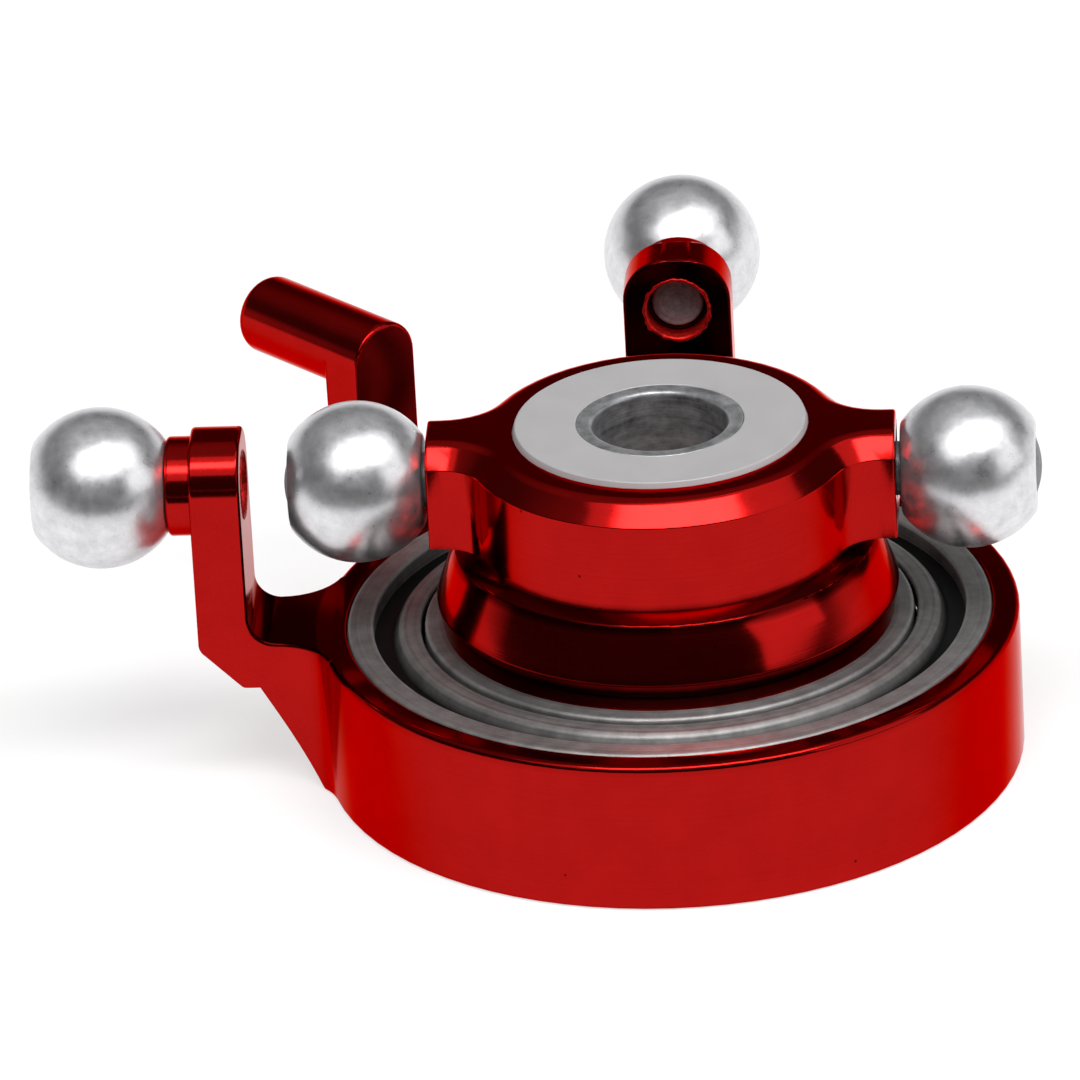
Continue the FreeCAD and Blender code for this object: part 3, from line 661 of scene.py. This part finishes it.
uniball = {
    "radius": 2.9, "flat": 1.1, "bore": 1.555, "edgeBreak": 0.02,
    "shaftRadius": 1.25, "sleeveRadius": 1.55, "mouthRound": 0.11, "sleeveEdge": 0.03,
}


def makeUniball():
    u = uniball
    latitude = math.degrees(math.asin(u["flat"] / u["radius"]))
    rim = u["radius"] * math.cos(math.radians(latitude))
    moves = [(rim, -u["flat"]), (0, 0, 2 * latitude, 40), (u["bore"], u["flat"])]
    rounds = [(distance, height, u["edgeBreak"])
              for distance in (rim, u["bore"]) for height in (-u["flat"], u["flat"])]
    bm = turnSection((u["bore"], -u["flat"]), moves, rounds)
    return finishPiece(bm, "pivotBall", "uniball")


def makeSleeve():
    u = uniball
    moves = [(u["sleeveRadius"], -u["flat"]), (u["sleeveRadius"], u["flat"]),
             (u["shaftRadius"], u["flat"])]
    rounds = [(u["shaftRadius"], height, u["mouthRound"]) for height in (-u["flat"], u["flat"])]
    rounds += [(u["sleeveRadius"], height, u["sleeveEdge"]) for height in (-u["flat"], u["flat"])]
    bm = turnSection((u["shaftRadius"], -u["flat"]), moves, rounds, 192)
    return finishPiece(bm, "mainShaftSleeve", "shaft_sleeve")


linkBall = {
    "radius": 1.5, "flat": 1.25, "bore": 0.505, "flatEdge": 0.05, "boreEdge": 0.03,
    "pinRadius": 0.5, "dome": 0.1, "pinEdge": 0.05,
}
# centre of each ball, both ends of its pin (mm from the shaft), its direction (degrees from +X)
linkages = {
    "left_servo": (10.425, 8.12, 11.725, 180), "rear_servo": (9.915, 7.61, 11.215, 90),
    "left_link": (5.66, 3.58, 7.01, 180), "right_link": (5.66, 3.58, 7.01, 0),
}


# lays a piece turned about Z along its own direction
def layAlong(bm, degrees, distance=0):
    bmesh.ops.translate(bm, verts=bm.verts, vec=(0, 0, distance))
    for angle, axis in ((math.pi / 2, "Y"), (math.radians(degrees), "Z")):
        bmesh.ops.rotate(bm, verts=bm.verts, cent=(0, 0, 0), matrix=Matrix.Rotation(angle, 3, axis))


def makeLinkages():
    b = linkBall
    latitude = math.degrees(math.asin(b["flat"] / b["radius"]))
    rim = b["radius"] * math.cos(math.radians(latitude))
    ballMoves = [(rim, -b["flat"]), (0, 0, 2 * latitude, 48), (b["bore"], b["flat"])]
    ballRounds = [(rim, height, b["flatEdge"]) for height in (-b["flat"], b["flat"])]
    ballRounds += [(b["bore"], height, b["boreEdge"]) for height in (-b["flat"], b["flat"])]
    domeRadius = (b["pinRadius"] ** 2 + b["dome"] ** 2) / (2 * b["dome"])
    domeAngle = math.degrees(math.asin(b["pinRadius"] / domeRadius))
    for name, (centre, start, tip, degrees) in linkages.items():
        words = name.split("_")
        title = words[0] + words[1].capitalize()
        ball = turnSection((b["bore"], -b["flat"]), ballMoves, ballRounds, 128)
        layAlong(ball, degrees, centre)
        finishPiece(ball, title + "Ball", name + "_ball")
        pin = turnSection((0, start), [(b["pinRadius"], start), (b["pinRadius"], tip - b["dome"]),
                                       (0, tip - domeRadius, domeAngle, 10)],
                          [(b["pinRadius"], start, b["pinEdge"])], 96)
        layAlong(pin, degrees)
        finishPiece(pin, title + "Pin", name + "_pin", rearPinFinish if degrees == 90 else None)


drilling = {
    "mouthRadius": 0.6, "depth": 0.37, "wall": 0.022, "spread": 0.05, "stand": 0.018,
    "chip": 0.16, "chipDepth": 0.05,    # mm, size and depth of the chips in the edge
    "leftFace": 7.77, "rearFace": 7.26,
    "colour": "#E0180F", "deepColour": "#8A0907", "roughness": 0.38,
}


# Where the drill broke through the dye: a chipped, brighter edge
def makeDrilledFinish():
    a = drilling
    material, tree, shader = newMaterial("drilledRedAluminium")
    place = addNode(tree, "ShaderNodeTexCoord").outputs["Object"]
    chips = addNode(tree, "ShaderNodeTexNoise", inputs={
        "Vector": place, "Scale": 1 / (0.5 * a["chip"] * mm), "Detail": 5.0, "Roughness": 0.7})
    share = addNode(tree, "ShaderNodeMapRange", inputs={0: chips.outputs[0], 1: 0.38, 2: 0.6})
    colour = addNode(tree, "ShaderNodeMix", {"data_type": "RGBA"}, {
        0: share.outputs[0], 6: linear(a["deepColour"]), 7: linear(a["colour"])})
    bump = addNode(tree, "ShaderNodeBump", inputs={
        "Strength": 1.0, "Distance": 0.2 * a["chipDepth"] * mm, "Height": chips.outputs[0]})
    shader.inputs["Metallic"].default_value = 0.8
    shader.inputs["Roughness"].default_value = a["roughness"]
    tree.links.new(colour.outputs[2], shader.inputs["Base Color"])
    tree.links.new(bump.outputs[0], shader.inputs["Normal"])
    return material


def makeHoleMouth(pieceName, face, degrees, finish):
    d = drilling
    outer, inner = d["mouthRadius"] + d["spread"], d["mouthRadius"] - d["wall"]
    moves = [(d["mouthRadius"], d["depth"]), (d["mouthRadius"], 0.01), (outer, 0.01),
             (outer, -0.3 * d["stand"]), (d["mouthRadius"] + 0.4 * d["spread"], -d["stand"]),
             (inner, 0.02), (inner, 0.2)]
    bm = turnSection((inner, d["depth"]), moves, (), 96)
    for vert in bm.verts:
        distance = vert.co.xy.length
        if vert.co.z < 0.009 and distance > d["mouthRadius"]:      # only the edge that shows
            chip = noise.noise(Vector((vert.co.x, vert.co.y, face)) / d["chip"])
            chip += 0.5 * noise.noise(Vector((vert.co.x, face, vert.co.y)) / (0.3 * d["chip"]))
            vert.co.xy *= 1 + d["chipDepth"] * chip / distance
            vert.co.z += 0.25 * d["stand"] * chip
    layAlong(bm, degrees, face)
    bmesh.ops.scale(bm, verts=bm.verts, vec=(mm, mm, mm))
    for edgeFace in bm.faces:
        edgeFace.smooth = True
    piece = addObject(bm, pieceName, finish)
    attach(piece, "stationary_ring")


makeRingWithArms()
makeHubWithEars()
print("ring and hub deburred")
makeBearingOuterRace()
makeBearingInnerRace()
makeShield("upperShield", "upper_shield", 1)
makeShield("lowerShield", "lower_shield", -1)
print("bearing turned")
makeUniball()
makeSleeve()
makeLinkages()
print("uniball, sleeve, link balls and pins turned")
drilled = makeDrilledFinish()
makeHoleMouth("leftHoleMouth", drilling["leftFace"], 180, drilled)
makeHoleMouth("rearHoleMouth", drilling["rearFace"], 90, drilled)
print("hole mouths chipped")


studio = {
    "floorSize": 3.0,               # m
    "floorColour": "#A8A8A8",
    "floorGlow": 0.63,              # added where the floor is seen, so that it is white
    "floorGap": 0.01,               # mm, so that the ring's base and the floor aren't in one plane
    # the room: sine of the elevation and grey, in front of the object and behind it
    "front": ((0, "#383838"), (0.55, "#404040"), (0.85, "#989898")),
    "behind": ((0, "#F4F4F4"), (0.18, "#E8E8E8"), (0.32, "#505050"), (0.55, "#505050"),
               (0.85, "#989898")),
    # width, height and distance (m), elevation and azimuth (degrees), power (W)
    "broadSoftbox": (2.1, 0.8, 0.92, 66, 28, 5.0),
    "stripLamp": (0.84, 0.21, 0.88, 66, 17, 6.0),
    "sideLamp": (0.66, 0.46, 0.95, 19, 68, 1.15),
    "flagFront": -21, "flagSize": 400, "flagLift": 0.1,     # mm, dark card on the table in front
    "flagGrey": "#262626",
}


def makeFloor():
    s = studio
    bm = bmesh.new()
    bmesh.ops.create_grid(bm, x_segments=1, y_segments=1, size=s["floorSize"] / 2)
    bmesh.ops.translate(bm, verts=bm.verts, vec=(0, 0, cadLow.z - s["floorGap"] * mm))
    material, tree, shader = newMaterial("whiteTable")
    ray = addNode(tree, "ShaderNodeLightPath")
    cameraOrGlossy = addNode(tree, "ShaderNodeMath", {"operation": "MAXIMUM"},
                             {0: ray.outputs["Is Camera Ray"], 1: ray.outputs["Is Glossy Ray"]})
    seen = addNode(tree, "ShaderNodeMath", {"operation": "MAXIMUM"},
                   {0: cameraOrGlossy.outputs[0], 1: ray.outputs["Is Transmission Ray"]})
    glow = addNode(tree, "ShaderNodeMath", {"operation": "MULTIPLY"},
                   {0: seen.outputs[0], 1: s["floorGlow"]})
    shader.inputs["Base Color"].default_value = linear(s["floorColour"])
    shader.inputs["Roughness"].default_value = 0.9
    shader.inputs["Specular IOR Level"].default_value = 0.0
    shader.inputs["Emission Color"].default_value = (1, 1, 1, 1)
    tree.links.new(glow.outputs[0], shader.inputs["Emission Strength"])
    # from below the table is clear, so that the underside can be looked at
    side = addNode(tree, "ShaderNodeNewGeometry")
    clear = addNode(tree, "ShaderNodeBsdfTransparent")
    oneSided = addNode(tree, "ShaderNodeMixShader", inputs={
        0: side.outputs["Backfacing"], 1: shader.outputs[0], 2: clear.outputs[0]})
    output = next(node for node in tree.nodes if node.bl_idname == "ShaderNodeOutputMaterial")
    tree.links.new(oneSided.outputs[0], output.inputs["Surface"])
    addObject(bm, "tableTop", material)


# A dark card lies on the table in front, out of the picture, as photographers place one to give
# polished metal a dark band. It only shows in reflections.
def makeFlag():
    s = studio
    bm = bmesh.new()
    bmesh.ops.create_grid(bm, x_segments=1, y_segments=1, size=s["flagSize"] / 2 * mm)
    middle = s["flagFront"] - s["flagSize"] / 2
    bmesh.ops.translate(bm, verts=bm.verts, vec=(0, middle * mm, cadLow.z + s["flagLift"] * mm))
    material, tree, shader = newMaterial("darkCardboard")
    shader.inputs["Base Color"].default_value = linear(s["flagGrey"])
    shader.inputs["Roughness"].default_value = 0.9
    shader.inputs["Specular IOR Level"].default_value = 0.0
    card = addObject(bm, "darkCard", material)
    card.visible_camera = False
    card.visible_diffuse = False
    card.visible_shadow = False


# The room is dark in front, where the photographer stands, and has a low white sweep behind
def makeWorld():
    s = studio
    world = bpy.data.worlds.new("dimRoom")
    world.use_nodes = True
    tree = world.node_tree
    way = addNode(tree, "ShaderNodeTexCoord").outputs["Generated"]
    split = addNode(tree, "ShaderNodeSeparateXYZ", inputs={0: way})
    sides = []
    for side in ("front", "behind"):
        ramp = addNode(tree, "ShaderNodeValToRGB", inputs={0: split.outputs[2]})
        stops = ramp.color_ramp.elements
        while len(stops) < len(s[side]):
            stops.new(0.5)
        for stop, (position, grey) in zip(stops, s[side]):
            stop.position = position
            stop.color = linear(grey)
        sides.append(ramp.outputs[0])
    share = addNode(tree, "ShaderNodeMapRange", inputs={0: split.outputs[1], 1: -0.1, 2: 0.25})
    grey = addNode(tree, "ShaderNodeMix", {"data_type": "RGBA"},
                   {0: share.outputs[0], 6: sides[0], 7: sides[1]})
    background = tree.nodes["Background"]
    tree.links.new(grey.outputs[2], background.inputs["Color"])
    background.inputs["Strength"].default_value = 1.0
    bpy.context.scene.world = world


def makeLamp(name):
    width, height, distance, elevation, azimuth, power = studio[name]
    elevation, azimuth = math.radians(elevation), math.radians(azimuth)
    toward = Vector((math.sin(azimuth) * math.cos(elevation),
                     -math.cos(azimuth) * math.cos(elevation), math.sin(elevation)))
    light = bpy.data.lights.new(name, "AREA")
    light.shape = "RECTANGLE"
    light.size, light.size_y = width, height
    light.energy = power
    lamp = bpy.data.objects.new(name, light)
    bpy.context.scene.collection.objects.link(lamp)
    lamp.location = toward * distance
    lamp.rotation_mode = "QUATERNION"
    lamp.rotation_quaternion = toward.to_track_quat("Z", "Y")


photoView = {
    "azimuth": 3.4, "elevation": 26.658, "roll": 3.174,     # degrees
    "distance": 220, "aim": (-2.452, 1.667, -2.095), "ringBottom": -5.7,    # mm
    "lens": 392.4,
}


def makeCamera():
    v = photoView
    azimuth, elevation = math.radians(v["azimuth"]), math.radians(v["elevation"])
    back = Vector((math.sin(azimuth) * math.cos(elevation),
                   -math.cos(azimuth) * math.cos(elevation), math.sin(elevation)))
    place = (Vector((0, 0, v["ringBottom"])) + back * v["distance"]) * mm
    aim = Vector(v["aim"]) * mm
    data = bpy.data.cameras.new("photoCamera")
    data.lens = v["lens"]
    data.sensor_width = 36
    data.clip_start, data.clip_end = 0.01, 10
    camera = bpy.data.objects.new("photoCamera", data)
    bpy.context.scene.collection.objects.link(camera)
    camera.location = place
    camera.rotation_mode = "QUATERNION"
    camera.rotation_quaternion = ((aim - place).to_track_quat("-Z", "Y")
                                  @ Quaternion((0, 0, 1), -math.radians(v["roll"])))
    bpy.context.scene.camera = camera


makeFloor()
makeFlag()
makeWorld()
for lampName in ("broadSoftbox", "stripLamp", "sideLamp"):
    makeLamp(lampName)
makeCamera()
bpy.context.scene.view_settings.view_transform = "Standard"
print("floor, light and camera ready")
